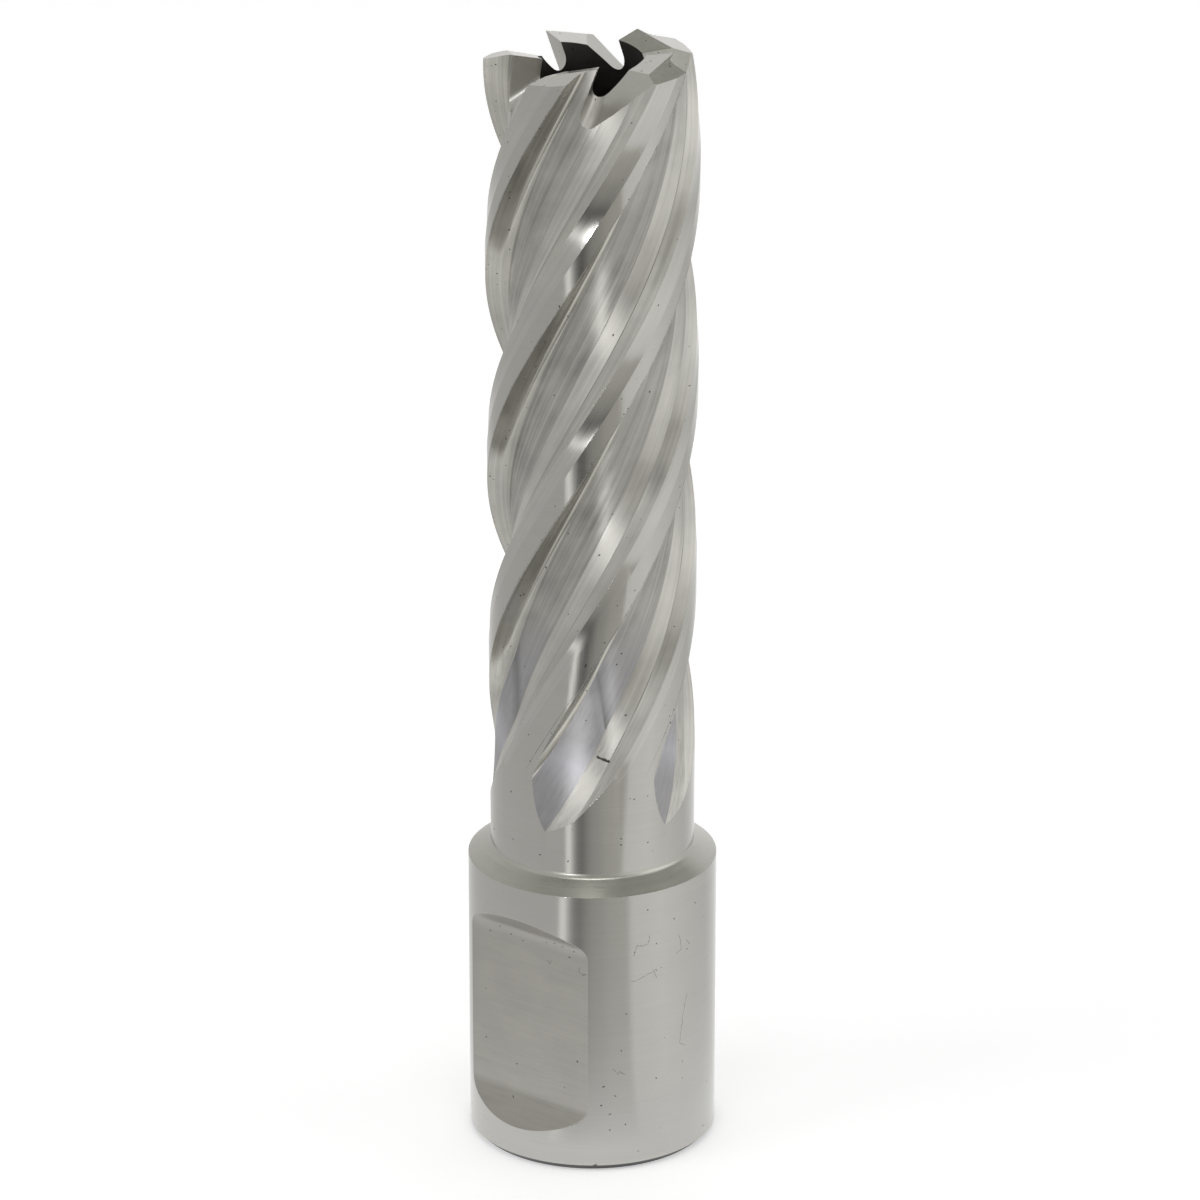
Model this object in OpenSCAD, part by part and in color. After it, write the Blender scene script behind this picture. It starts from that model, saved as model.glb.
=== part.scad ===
// Annular cutter: a hollow, fluted hole cutter on a plain round shank with two drive flats.
// Turned and ground from one bar, so it is a single piece. Sizes are millimetres and degrees.
// The shank end stands on z = 0 and the teeth point up. Front is -Y.

/* [Shank] */
// diameter of the shank
shank_d = 19.05; // [18.5:0.05:25.4]
// height of the shank's outer edge above its end face
shank_l = 22.8; // [21.5:0.1:26]
// chamfer round the shank end
shank_chamfer = 0.5; // [0.2:0.05:1]
// slope of the shoulder between shank and neck, from level
shoulder_slope = 29; // [10:1:45]

/* [Drive flats] */
// depth of each flat below the round
flat_depth = 1.88; // [0.8:0.02:2.4]
// height where the floor of the flat starts
flat_low = 4.4; // [3:0.1:7]
// height where the floor of the flat ends
flat_high = 18.3; // [14:0.1:19]
// angle of the ramp below the flat, from the axis
flat_ramp = 49; // [35:1:60]
// bearing of the front flat, clockwise seen from the shank end
flat_bearing = -38.6; // [-60:0.2:0]
// angle between the two flats
flat_step = 90; // [60:1:180]

/* [Cutting body] */
// diameter over the margins at the teeth
cut_d = 16; // [15:0.1:18]
// diameter of the plain neck
neck_d = 15.6; // [14.8:0.1:15.9]
// radius of the fillet between shoulder and neck
neck_fillet = 0.5; // [0.2:0.05:0.9]
// height of the tooth tips above the shank end
total_l = 86.4; // [80:0.1:95]
// diameter of the core bore
core_d = 8; // [7:0.1:8.8]
// depth of the core bore below the tooth tips
core_depth = 56; // [45:0.5:58]
// diameter of the pilot pin bore through the shank
pilot_d = 6.4; // [5:0.05:6.8]
// chamfer at the mouth of the pilot pin bore
pilot_chamfer = 0.4; // [0.2:0.05:0.8]
// slope of the drilled floor between core bore and pilot pin bore, from level
drill_slope = 31; // [20:1:45]

/* [Flutes] */
// number of flutes and teeth
flute_n = 5; // [4:1:5]
// axial length of one turn of the right-hand flutes
flute_lead = 80; // [65:1:120]
// depth of the flute floor below the margin
flute_depth = 1.85; // [1.2:0.05:2.1]
// angle from the leading edge across the flute to the next heel
flute_span = 52; // [40:1:56]
// width of the round margin behind each leading edge
margin_w = 1; // [0.5:0.05:1.6]
// drop of the relieved land from margin to heel
land_drop = 0.22; // [0.1:0.01:0.35]
// height where the flute floor starts to run out
runout_z = 41.2; // [39:0.1:48]
// length of the run-out ramp, from full depth to the round of the neck
runout_l = 8.7; // [7:0.1:10]
// sweep of the run-out line across the flute, for each degree round the axis
runout_sweep = 0.18; // [0.05:0.005:0.2]
// height of one step of the helical surfaces
flute_step = 2; // [1.5:0.1:3]

/* [Teeth] */
// bearing of the leading corner of the front tooth
tooth_bearing = -11.2; // [-36:0.1:36]
// distance of the roof ridge from the axis
ridge_r = 5.95; // [5.4:0.05:6.6]
// forward offset of the tooth tip from the leading corner
tip_lead = 1.55; // [1.2:0.05:1.9]
// relief slope of the tooth top behind the edge
relief_angle = 10.8; // [4:0.2:14]
// outward slope of the tooth top
outer_bevel = 10.8; // [5:0.2:20]
// inward slope of the tooth top
inner_bevel = 9.6; // [5:0.2:20]

/* [Gullets] */
// depth of the gullet root below the tips, at the bore wall
gullet_depth = 2.6; // [1.8:0.05:3]
// forward offset of the gullet root from the tooth tip
gullet_lead = 0.05; // [-0.3:0.05:0.3]
// lag of each gullet behind its even place, tooth by tooth
gullet_lags = [0, 0, 0, 0.5, 0]; // [0:0.05:0.6]
// radius of the gullet root
gullet_r = 0.75; // [0.5:0.05:0.9]
// downward slope of the gullet towards the outside
gullet_slope = 35.8; // [20:0.2:45]
// turn of the gullet seen from above
gullet_turn = -12; // [-20:0.5:5]
// hook of the cutting face
hook_angle = 25; // [10:0.5:30]
// rise of the gullet back
back_angle = 22; // [15:0.5:35]

/* [Hidden] */
$fn = 96;
cut_r = cut_d / 2;
neck_r = neck_d / 2;
shank_r = shank_d / 2;
core_r = core_d / 2;
pilot_r = pilot_d / 2;
pitch = 360 / flute_n;
turn = 360 / flute_lead;
neck_z = shank_l + (shank_r - neck_r) * tan(shoulder_slope);
// centre of the neck fillet, tangent to the shoulder cone and to the neck
fillet_r = neck_r + neck_fillet;
fillet_z = shank_l + (shank_r - fillet_r) * tan(shoulder_slope) + neck_fillet / cos(shoulder_slope);
fillet_steps = 5;
core_floor = total_l - core_depth;
drill_rise = (core_r - pilot_r) * tan(drill_slope);
over = 1;
clear_r = max(cut_r, shank_r) + 2 * over;
// below this height the helical cutter keeps clear of the shank and its rim
guard_z = neck_z + over;
guard_r = shank_r + over;
// stations of the helical cutter, from the end of the ramp up past the tips
heel_u = flute_span;
margin_a = margin_w / cut_r * 180 / PI;
margin_u = pitch - margin_a;
past_u = pitch - margin_a / 2;
ramp_lift = neck_r - cut_r + flute_depth;
first_z = runout_z - runout_l - over;
last_z = total_l + over + runout_sweep * past_u;
ramp_n = ceil((runout_l + over) / flute_step);
rise_n = ceil((last_z - runout_z) / flute_step);
stations = concat(
    [for (i = [0 : ramp_n - 1]) first_z + (runout_z - first_z) * i / ramp_n],
    [for (i = [0 : rise_n]) runout_z + (last_z - runout_z) * i / rise_n]
);
// the relieved land is a straight line across the section, square to the heel
land_r = cut_r - land_drop;
function land_at(u) = land_r / cos((u - heel_u) * acos(land_r / cut_r) / (margin_u - heel_u));
// form of the flute from leading edge to heel: [share of the span, share of the depth]
flute_form = [
    [-0.017, -0.45],
    [0, 0],
    [0.019, 0.38],
    [0.044, 0.72],
    [0.08, 0.92],
    [0.139, 0.99],
    [0.29, 1],
    [0.47, 0.98],
    [0.65, 0.92],
    [0.77, 0.77],
    [0.88, 0.58]
];
// section of one flute and the relieved land behind it: [bearing, radius]
section = concat(
    [for (q = flute_form) [q[0] * flute_span, cut_r - q[1] * flute_depth]],
    [for (u = [heel_u, margin_u, past_u]) [u, land_at(u)]]
);
section_n = len(section);
ring_n = 2 * section_n;
station_n = len(stations);
// frame of one tooth: height of the roof at a place x forward and y outward of the axis
function ridge_z(x) = total_l + (x - tip_lead) * tan(relief_angle);
function bevel_z(y) = y > ridge_r ? (y - ridge_r) * tan(outer_bevel) : (ridge_r - y) * tan(inner_bevel);
roof_front = 25;
roof_back = roof_front - pitch - over;
roof_r = cut_r + 5;
roof_top = total_l + 6;
gullet_len = 14;
gullet_reach = 8;
// height at which the leading edge has the bearing of its tooth
edge_z = total_l - 0.2;

annular_cutter();

module annular_cutter() {
    color([0.62, 0.62, 0.6])
    difference() {
        blank();
        bores();
        for (i = [0, 1]) rotate(flat_bearing - i * flat_step) drive_flat();
        for (i = [0 : flute_n - 1]) rotate(tooth_bearing + i * pitch) flute();
        for (i = [0 : flute_n - 1]) rotate(tooth_bearing + i * pitch) roof();
        for (i = [0 : flute_n - 1]) rotate(tooth_bearing + i * pitch) gullet(gullet_lags[i]);
    }
}

// turned outside of shank, shoulder, neck and cutting body
module blank() {
    rotate_extrude()
    polygon(concat(
        [
            [0, 0],
            [shank_r - shank_chamfer, 0],
            [shank_r, shank_chamfer],
            [shank_r, shank_l]
        ],
        [for (i = [0 : fillet_steps])
            let (a = 270 - shoulder_slope - (90 - shoulder_slope) * i / fillet_steps)
            [fillet_r + neck_fillet * cos(a), fillet_z + neck_fillet * sin(a)]],
        [
            [cut_r, total_l],
            [0, total_l]
        ]
    ));
}

// core bore from the teeth, drilled floor, and pilot pin bore through the shank
module bores() {
    rotate_extrude()
    polygon([
        [0, -over],
        [pilot_r + pilot_chamfer + over, -over],
        [pilot_r, pilot_chamfer],
        [pilot_r, core_floor - drill_rise],
        [core_r, core_floor],
        [core_r, total_l + over],
        [0, total_l + over]
    ]);
}

// flat across the front of the shank with a ramp at each end
module drive_flat() {
    rotate([90, 0, 90])
    translate([0, 0, -shank_r])
    linear_extrude(height = shank_d)
    polygon([
        [flat_depth - shank_r, flat_low],
        [flat_depth - shank_r, flat_high],
        [-shank_r - over, flat_high + flat_depth + over],
        [-shank_r - over, flat_low - (flat_depth + over) / tan(flat_ramp)]
    ]);
}

// place on the helical cutter: station height, point of the section, added radius
function helix_point(t, q, lift) =
    let (z = t - runout_sweep * q[0])
    let (a = q[0] + (z - edge_z) * turn)
    let (r = z < guard_z ? max(q[1] + lift, guard_r) : q[1] + lift)
    [r * sin(a), -r * cos(a), z];
function lift_at(t) = max(0, runout_z - t) * ramp_lift / runout_l;
function wrap(k) = k % ring_n;

// helical flute with relieved land, floor running out above the neck
module flute() {
    pts = [for (t = stations) each concat(
        [for (q = section) helix_point(t, q, lift_at(t))],
        [for (k = [section_n - 1 : -1 : 0]) helix_point(t, [section[k][0], clear_r], lift_at(t))]
    )];
    sides = [for (i = [0 : station_n - 2], k = [0 : ring_n - 1]) each [
        [i * ring_n + k, (i + 1) * ring_n + wrap(k + 1), (i + 1) * ring_n + k],
        [i * ring_n + k, i * ring_n + wrap(k + 1), (i + 1) * ring_n + wrap(k + 1)]
    ]];
    top = (station_n - 1) * ring_n;
    caps = [for (k = [0 : section_n - 2]) each [
        [k, ring_n - 2 - k, k + 1],
        [k, ring_n - 1 - k, ring_n - 2 - k],
        [top + k + 1, top + ring_n - 2 - k, top + k],
        [top + k, top + ring_n - 2 - k, top + ring_n - 1 - k]
    ]];
    polyhedron(points = pts, faces = concat(sides, caps), convexity = 6);
}

// roof cut of one tooth: two planes that meet in a ridge, over one pitch
module roof() {
    plan = [
        [0, 0],
        [ridge_r * tan(roof_front), ridge_r],
        [roof_r * tan(roof_front), roof_r],
        [roof_r * tan(roof_back), roof_r],
        [ridge_r * tan(roof_back), ridge_r]
    ];
    low = [for (q = plan) [q[0], -q[1], ridge_z(q[0]) - bevel_z(q[1])]];
    high = [for (q = plan) [q[0], -q[1], roof_top]];
    polyhedron(
        points = concat(low, high),
        faces = [
            [4, 1, 0],
            [4, 3, 2, 1],
            [5, 6, 7, 8, 9],
            [1, 6, 5, 0],
            [2, 7, 6, 1],
            [3, 8, 7, 2],
            [4, 9, 8, 3],
            [0, 5, 9, 4]
        ],
        convexity = 3
    );
}

// gullet ahead of one tooth: hooked face, round root and rising back
// its root crosses the bore wall near the tip
module gullet(lag) {
    root_x = tip_lead + gullet_lead - lag;
    root_y = sqrt(core_r * core_r - root_x * root_x);
    root_z = total_l - gullet_depth + gullet_r / cos(gullet_slope);
    translate([root_x, -root_y, root_z])
    rotate([90 + gullet_slope, 0, gullet_turn])
    translate([0, 0, -root_y])
    linear_extrude(height = gullet_len)
    union() {
        circle(r = gullet_r);
        polygon([
            [0, 0],
            [-gullet_r * cos(hook_angle), gullet_r * sin(hook_angle)],
            [gullet_reach * sin(hook_angle) - gullet_r * cos(hook_angle),
                gullet_reach * cos(hook_angle) + gullet_r * sin(hook_angle)],
            [gullet_reach * cos(back_angle) + gullet_r * sin(back_angle),
                gullet_reach * sin(back_angle) - gullet_r * cos(back_angle)],
            [gullet_r * sin(back_angle), -gullet_r * cos(back_angle)]
        ]);
    }
}
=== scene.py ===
# %% [markdown]
# # An annular cutter in ground steel
# The tool is one bar of steel: a round shank with drive flats, a conical shoulder, a neck, and a
# hollow body with five right-hand flutes that end in hooked teeth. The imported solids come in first.
# They fix the size and the place of everything that follows, so the box round them is kept.

# %% Load the frame
import math

import bmesh
import bpy
import numpy as np
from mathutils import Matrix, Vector


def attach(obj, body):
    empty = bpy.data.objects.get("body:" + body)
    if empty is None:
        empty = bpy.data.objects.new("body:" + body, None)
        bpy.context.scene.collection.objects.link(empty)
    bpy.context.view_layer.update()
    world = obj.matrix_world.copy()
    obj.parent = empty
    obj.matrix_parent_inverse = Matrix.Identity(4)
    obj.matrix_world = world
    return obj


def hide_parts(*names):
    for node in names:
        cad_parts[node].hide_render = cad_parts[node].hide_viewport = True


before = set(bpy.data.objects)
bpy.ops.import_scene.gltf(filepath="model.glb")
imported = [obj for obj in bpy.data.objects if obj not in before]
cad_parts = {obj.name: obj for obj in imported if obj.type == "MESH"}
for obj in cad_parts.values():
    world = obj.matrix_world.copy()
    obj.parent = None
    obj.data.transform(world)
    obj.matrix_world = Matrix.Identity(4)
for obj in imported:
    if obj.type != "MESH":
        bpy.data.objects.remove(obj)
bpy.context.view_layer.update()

MM = 0.001

# %% [markdown]
# ## Finishes
# Every surface of the tool is bare steel, yet each was worked in its own way: the shank is turned,
# the flats are milled, the flutes and lands are ground along the helix, the teeth are ground across.
# A flute has three finishes: the steep wall under the cutting edge, the floor, and the back that
# rises to the land. A finish is a number on each face of the mesh, so a cutter that shapes the
# blank also leaves its own finish on the faces it makes, as on the real tool.

# %% Name the finishes
FINISHES = [
    "turned", "shoulder", "chamfer", "milled", "bore",
    "wall", "floor", "back", "land", "tooth", "gullet",
]
TURNED, SHOULDER, CHAMFER, MILLED, BORE, WALL, FLOOR, BACK, LAND, TOOTH, GULLET = range(len(FINISHES))
finish_materials = [bpy.data.materials.new(name + "_steel") for name in FINISHES]


def solid(name, points, faces, finishes):
    """A closed mesh from points in millimetres, with a finish for each face."""
    mesh = bpy.data.meshes.new(name)
    mesh.from_pydata([tuple(c * MM for c in p) for p in points], [], faces)
    for material in finish_materials:
        mesh.materials.append(material)
    mesh.polygons.foreach_set("material_index", finishes)
    work = bmesh.new()
    work.from_mesh(mesh)
    bmesh.ops.recalc_face_normals(work, faces=work.faces)
    work.to_mesh(mesh)
    work.free()
    made = bpy.data.objects.new(name, mesh)
    bpy.context.scene.collection.objects.link(made)
    return made


print("finishes:", ", ".join(FINISHES))

# %% [markdown]
# ## The blank
# A lathe turns the outside and drills the bore, so one closed outline turned round the axis gives
# both. The outline could also be a curve with a Screw modifier; a ring of points written directly
# keeps a finish on every stretch of the outline.

# %% Turn the blank
SHANK_R, SHANK_TOP, SHANK_CHAMFER = 9.525, 22.8, 0.5
SHOULDER_SLOPE = math.radians(29)
NECK_R, NECK_FILLET, FILLET_STEPS = 7.8, 0.5, 10
CUT_R, TIP_Z = 8.0, 86.4
CORE_R, CORE_FLOOR = 4.0, 30.4
PILOT_R, PILOT_CHAMFER = 3.2, 0.4
DRILL_RISE = (CORE_R - PILOT_R) * math.tan(math.radians(31))
LATHE_STEPS = 384


def turned_outline():
    """Corners of the half section and the finish of the stretch after each corner."""
    outline = [((PILOT_R + PILOT_CHAMFER, 0), TURNED)]
    outline.append(((SHANK_R - SHANK_CHAMFER, 0), CHAMFER))
    outline.append(((SHANK_R, SHANK_CHAMFER), TURNED))
    outline.append(((SHANK_R, SHANK_TOP), SHOULDER))
    centre_r = NECK_R + NECK_FILLET
    centre_z = SHANK_TOP + (SHANK_R - centre_r) * math.tan(SHOULDER_SLOPE)
    centre_z += NECK_FILLET / math.cos(SHOULDER_SLOPE)
    for i in range(FILLET_STEPS + 1):
        a = math.radians(270) - SHOULDER_SLOPE - (math.pi / 2 - SHOULDER_SLOPE) * i / FILLET_STEPS
        corner = (centre_r + NECK_FILLET * math.cos(a), centre_z + NECK_FILLET * math.sin(a))
        outline.append((corner, TURNED if i == FILLET_STEPS else SHOULDER))
    outline.append(((CUT_R, TIP_Z), TOOTH))
    outline.append(((CORE_R, TIP_Z), BORE))
    outline.append(((CORE_R, CORE_FLOOR), BORE))
    outline.append(((PILOT_R, CORE_FLOOR - DRILL_RISE), BORE))
    outline.append(((PILOT_R, PILOT_CHAMFER), BORE))
    return outline


def lathe(name, outline, steps):
    points = []
    for i in range(steps):
        a = 2 * math.pi * i / steps
        points += [(r * math.sin(a), -r * math.cos(a), z) for (r, z), _ in outline]
    n = len(outline)
    faces, finishes = [], []
    for i in range(steps):
        here, there = i * n, (i + 1) % steps * n
        for k in range(n):
            faces.append((here + k, there + k, there + (k + 1) % n, here + (k + 1) % n))
            finishes.append(outline[k][1])
    return solid(name, points, faces, finishes)


cutter = lathe("cutter_steel", turned_outline(), LATHE_STEPS)
print("blank:", len(cutter.data.polygons), "faces")

# %% [markdown]
# ## Cutting away
# Each cut is a boolean difference. The tool object carries its finish over to the faces it leaves,
# and it is deleted once the cut is applied.

# %% A cut
def cut(body, tool):
    step = body.modifiers.new("cut", "BOOLEAN")
    step.operation = "DIFFERENCE"
    step.solver = "MANIFOLD"
    step.object = tool
    bpy.context.view_layer.objects.active = body
    bpy.ops.object.modifier_apply(modifier=step.name)
    bpy.data.meshes.remove(tool.data)


def turned_to(points, bearing):
    """Points modelled at the front, turned round the axis to a bearing in degrees."""
    c, s = math.cos(math.radians(bearing)), math.sin(math.radians(bearing))
    return [(x * c - y * s, x * s + y * c, z) for x, y, z in points]


def prism(name, outline, near, far, place, finish):
    """A straight bar between two copies of an outline; place() puts a point and a depth in space."""
    n = len(outline)
    points = [place(p, near) for p in outline] + [place(p, far) for p in outline]
    faces = [tuple(range(n)), tuple(range(n, 2 * n))]
    faces += [(k, (k + 1) % n, n + (k + 1) % n, n + k) for k in range(n)]
    return name, points, faces, [finish] * len(faces)


def bent(start, control, end, steps):
    """Points on a quadratic curve, the end left out."""
    out = []
    for i in range(steps):
        t = i / steps
        out.append(tuple(
            (1 - t) ** 2 * a + 2 * t * (1 - t) * b + t * t * c for a, b, c in zip(start, control, end)
        ))
    return out


print("ready to cut")

# %% [markdown]
# ## Drive flats
# Two flats stand a quarter turn apart on the shank. A milling cutter leaves a plane with a sloping
# ramp at each end, so the outline of the cut in side view is a trapezium that runs out of the round.
# The feet of the ramps are rounded; a Bevel modifier could do that too, but the outline is simpler.

# %% Mill the drive flats
FLAT_DEPTH, FLAT_LOW, FLAT_HIGH = 1.88, 4.4, 18.3
FLAT_RAMP = math.radians(49)
FLAT_BEARINGS = (-38.6, -128.6)
FLAT_ROUND, ROUND_STEPS = 0.8, 6
OVER = 1.0

flat_y = FLAT_DEPTH - SHANK_R
out_y = -SHANK_R - OVER
low_end = (out_y, FLAT_LOW - (FLAT_DEPTH + OVER) / math.tan(FLAT_RAMP))
high_end = (out_y, FLAT_HIGH + FLAT_DEPTH + OVER)


def rounded_corner(before, corner, after):
    """A short curve in place of a corner of the outline."""
    foot = Vector(corner)
    start, end = (
        tuple(foot + (Vector(p) - foot).normalized() * FLAT_ROUND) for p in (before, after)
    )
    return [*bent(start, corner, end, ROUND_STEPS), end]


flat_low, flat_high = (flat_y, FLAT_LOW), (flat_y, FLAT_HIGH)
flat_outline = [low_end, *rounded_corner(low_end, flat_low, flat_high)]
flat_outline += [*rounded_corner(flat_low, flat_high, high_end), high_end]
for bearing in FLAT_BEARINGS:
    name, points, faces, finishes = prism(
        "flat", flat_outline, -SHANK_R, SHANK_R, lambda p, x: (x, p[0], p[1]), MILLED
    )
    cut(cutter, solid(name, turned_to(points, bearing), faces, finishes))
print("after the flats:", len(cutter.data.polygons), "faces")

# %% [markdown]
# ## Flutes and lands
# One section is swept up the helix: a steep rake wall, a round corner, a floor that is nearly
# concentric with the bore, two creases where the grinding wheel stepped, the heel, and the flat
# relieved land that rises to the narrow margin. The sweep uses many small steps so that the
# reflections in the flutes run smoothly. Near the neck the section lifts and so runs out.

# %% Section of a flute
FLUTES, LEAD = 5, 80.0
PITCH = 360 / FLUTES
TURN = 360 / LEAD
HEEL_U = 52.0
MARGIN_W, LAND_RELIEF, FLUTE_DEPTH = 1.0, 0.22, 1.85
MARGIN_U = PITCH - math.degrees(MARGIN_W / CUT_R)
LAND_R = CUT_R - LAND_RELIEF
CLEAR_R = SHANK_R + 2 * OVER


def land_radius(u):
    """The relieved land is straight across the section, square to the heel."""
    share = (u - HEEL_U) / (MARGIN_U - HEEL_U)
    return LAND_R / math.cos(share * math.acos(LAND_R / CUT_R))


LEADING, RAKE_FOOT, FLOOR_START = (0.0, 8.0), (1.9, 6.86), (7.4, 6.17)
CREASE_FLOOR, CREASE_BACK, HEEL = (33.8, 6.3), (45.8, 6.93), (HEEL_U, LAND_R)
section = [(-0.9, 8.83)]
section += bent(LEADING, (1.0, 7.3), RAKE_FOOT, 4)
section += bent(RAKE_FOOT, (3.3, 6.2), FLOOR_START, 12)
floor_start = len(section)
section += bent(FLOOR_START, (20.0, 6.1), CREASE_FLOOR, 12)
back_start = len(section)
section += bent(CREASE_FLOOR, (40.2, 6.58), CREASE_BACK, 5)
section += bent(CREASE_BACK, (49.2, 7.34), HEEL, 5)
land_start = len(section)
section += [(u, land_radius(u)) for u in np.linspace(HEEL_U, MARGIN_U, 4)]
section.append(((MARGIN_U + PITCH) / 2, land_radius((MARGIN_U + PITCH) / 2)))
floor_depth = CUT_R - min(r for _, r in section)
print("section:", len(section), "points, floor depth", round(floor_depth, 2), "mm")

# %% [markdown]
# ### Sweeping the section
# Each station of the sweep is the section turned to its place on the helix, closed by an outer row
# of points that stays clear of the blank. Below the neck the sweep stays outside the shank. A
# Screw modifier could make a plain helix, but not one that lifts at its end.

# %% Sweep and cut the flutes
RUNOUT_Z, RUNOUT_L, RUNOUT_SWEEP = 41.2, 8.7, 0.18
RAMP_LIFT = NECK_R - CUT_R + FLUTE_DEPTH
EDGE_Z = TIP_Z - 0.2
TOOTH_BEARING = -11.2
SWEEP_STEP = 0.5
RAMP_ROUND = 0.9
GUARD_Z = SHANK_TOP + (SHANK_R - NECK_R) * math.tan(SHOULDER_SLOPE) + OVER
GUARD_R = SHANK_R + OVER


def ramp_lift(t):
    """Rise of the floor below the run-out line, rounded where the ramp starts."""
    below = RUNOUT_Z - t
    if abs(below) < RAMP_ROUND:
        below = (below + RAMP_ROUND) ** 2 / (4 * RAMP_ROUND)
    return max(0, below) * RAMP_LIFT / RUNOUT_L


def helix_point(t, u, r):
    z = t - RUNOUT_SWEEP * u
    a = math.radians(u + (z - EDGE_Z) * TURN)
    r += ramp_lift(t)
    if z < GUARD_Z:
        r = max(r, GUARD_R)
    return (r * math.sin(a), -r * math.cos(a), z)


def section_finish(k):
    """Finish of the strip that starts at a point of the section."""
    if k < floor_start:
        return WALL
    if k < back_start:
        return FLOOR
    return BACK if k < land_start else LAND


def flute_sweep():
    first = RUNOUT_Z - RUNOUT_L - OVER
    last = TIP_Z + OVER + RUNOUT_SWEEP * section[-1][0]
    ramp = np.linspace(first, RUNOUT_Z, round((RUNOUT_Z - first) / SWEEP_STEP), endpoint=False)
    stations = [*ramp, *np.linspace(RUNOUT_Z, last, round((last - RUNOUT_Z) / SWEEP_STEP) + 1)]
    n = len(section)
    ring = 2 * n
    points, faces, finishes = [], [], []
    for t in stations:
        points += [helix_point(t, u, r) for u, r in section]
        points += [helix_point(t, u, CLEAR_R) for u, _ in reversed(section)]
    for i in range(len(stations) - 1):
        for k in range(ring):
            a, b = i * ring + k, i * ring + (k + 1) % ring
            faces += [(a, b, b + ring), (a, b + ring, a + ring)]
            finishes += [section_finish(k)] * 2
    top = (len(stations) - 1) * ring
    for k in range(n - 1):
        for base in (0, top):
            faces.append((base + k, base + k + 1, base + ring - 2 - k, base + ring - 1 - k))
            finishes.append(FLOOR)
    return points, faces, finishes


sweep_points, sweep_faces, sweep_finishes = flute_sweep()
for i in range(FLUTES):
    placed = turned_to(sweep_points, TOOTH_BEARING + i * PITCH)
    cut(cutter, solid("flute", placed, sweep_faces, sweep_finishes))
print("after the flutes:", len(cutter.data.polygons), "faces")

# %% [markdown]
# ## Teeth
# Each tooth has a roof of two ground planes that meet in a ridge, and a hooked gullet ahead of it
# that breaks through the wall into the bore. A wedge over one pitch cuts the roof, and a bar with a
# round nose, tipped downwards to the outside, cuts the gullet.

# %% Grind the tooth roofs
RIDGE_R, TIP_LEAD = 5.95, 1.55
RELIEF, OUTER_BEVEL, INNER_BEVEL = (math.tan(math.radians(a)) for a in (10.8, 10.8, 9.6))
ROOF_FRONT = 25.0
ROOF_BACK = ROOF_FRONT - PITCH - 1
ROOF_R, ROOF_TOP = CUT_R + 5, TIP_Z + 6


def roof_height(x, y):
    bevel = (y - RIDGE_R) * OUTER_BEVEL if y > RIDGE_R else (RIDGE_R - y) * INNER_BEVEL
    return TIP_Z + (x - TIP_LEAD) * RELIEF - bevel


front_slope, back_slope = math.tan(math.radians(ROOF_FRONT)), math.tan(math.radians(ROOF_BACK))
roof_plan = [
    (0, 0),
    (RIDGE_R * front_slope, RIDGE_R),
    (ROOF_R * front_slope, ROOF_R),
    (ROOF_R * back_slope, ROOF_R),
    (RIDGE_R * back_slope, RIDGE_R),
]
corners = len(roof_plan)
roof_points = [(x, -y, roof_height(x, y)) for x, y in roof_plan]
roof_points += [(x, -y, ROOF_TOP) for x, y in roof_plan]
roof_faces = [(0, 1, 4), (1, 2, 3, 4), tuple(range(corners, 2 * corners))]
for k in range(corners):
    roof_faces.append((k, (k + 1) % corners, corners + (k + 1) % corners, corners + k))
for i in range(FLUTES):
    bearing = TOOTH_BEARING + i * PITCH
    cut(cutter, solid("roof", turned_to(roof_points, bearing), roof_faces, [TOOTH] * len(roof_faces)))
print("after the roofs:", len(cutter.data.polygons), "faces")

# %% [markdown]
# ### Gullets
# The gullet is a prism: the hooked face of the tooth, a round nose and a back that rises again. The
# fourth one lags a little, as on the tool in the photograph.

# %% Grind the gullets
GULLET_DEPTH, GULLET_R, GULLET_REACH = 2.6, 0.75, 8.0
GULLET_SLOPE, GULLET_TURN = math.radians(35.8), math.radians(-12)
HOOK, BACK_RISE = math.radians(25), math.radians(22)
GULLET_LEAD = 0.05
GULLET_LAGS = (0, 0, 0, 0.5, 0)
ROOT_Z = TIP_Z - GULLET_DEPTH + GULLET_R / math.cos(GULLET_SLOPE)
GULLET_LENGTH, NOSE_STEPS = 14.0, 24


def gullet_outline():
    """Hooked face, round nose and rising back, in the plane square to the gullet."""
    start, end = math.pi - HOOK, 1.5 * math.pi + BACK_RISE
    nose = [start + (end - start) * i / NOSE_STEPS for i in range(NOSE_STEPS + 1)]
    outline = [(GULLET_R * math.cos(a), GULLET_R * math.sin(a)) for a in nose]
    (first_x, first_y), (last_x, last_y) = outline[0], outline[-1]
    along_back, up_back = GULLET_REACH * math.cos(BACK_RISE), GULLET_REACH * math.sin(BACK_RISE)
    along_hook, up_hook = GULLET_REACH * math.sin(HOOK), GULLET_REACH * math.cos(HOOK)
    outline.append((last_x + along_back, last_y + up_back))
    outline.append((first_x + along_hook, first_y + up_hook))
    return outline


def gullet_place(p, depth, root_x, root_y):
    """Tips the bar downwards to the outside, turns it and moves its nose to the root."""
    tip = math.pi / 2 + GULLET_SLOPE
    x, y, z = p[0], p[1], depth
    y, z = y * math.cos(tip) - z * math.sin(tip), y * math.sin(tip) + z * math.cos(tip)
    c, s = math.cos(GULLET_TURN), math.sin(GULLET_TURN)
    return (x * c - y * s + root_x, x * s + y * c - root_y, z + ROOT_Z)


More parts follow.
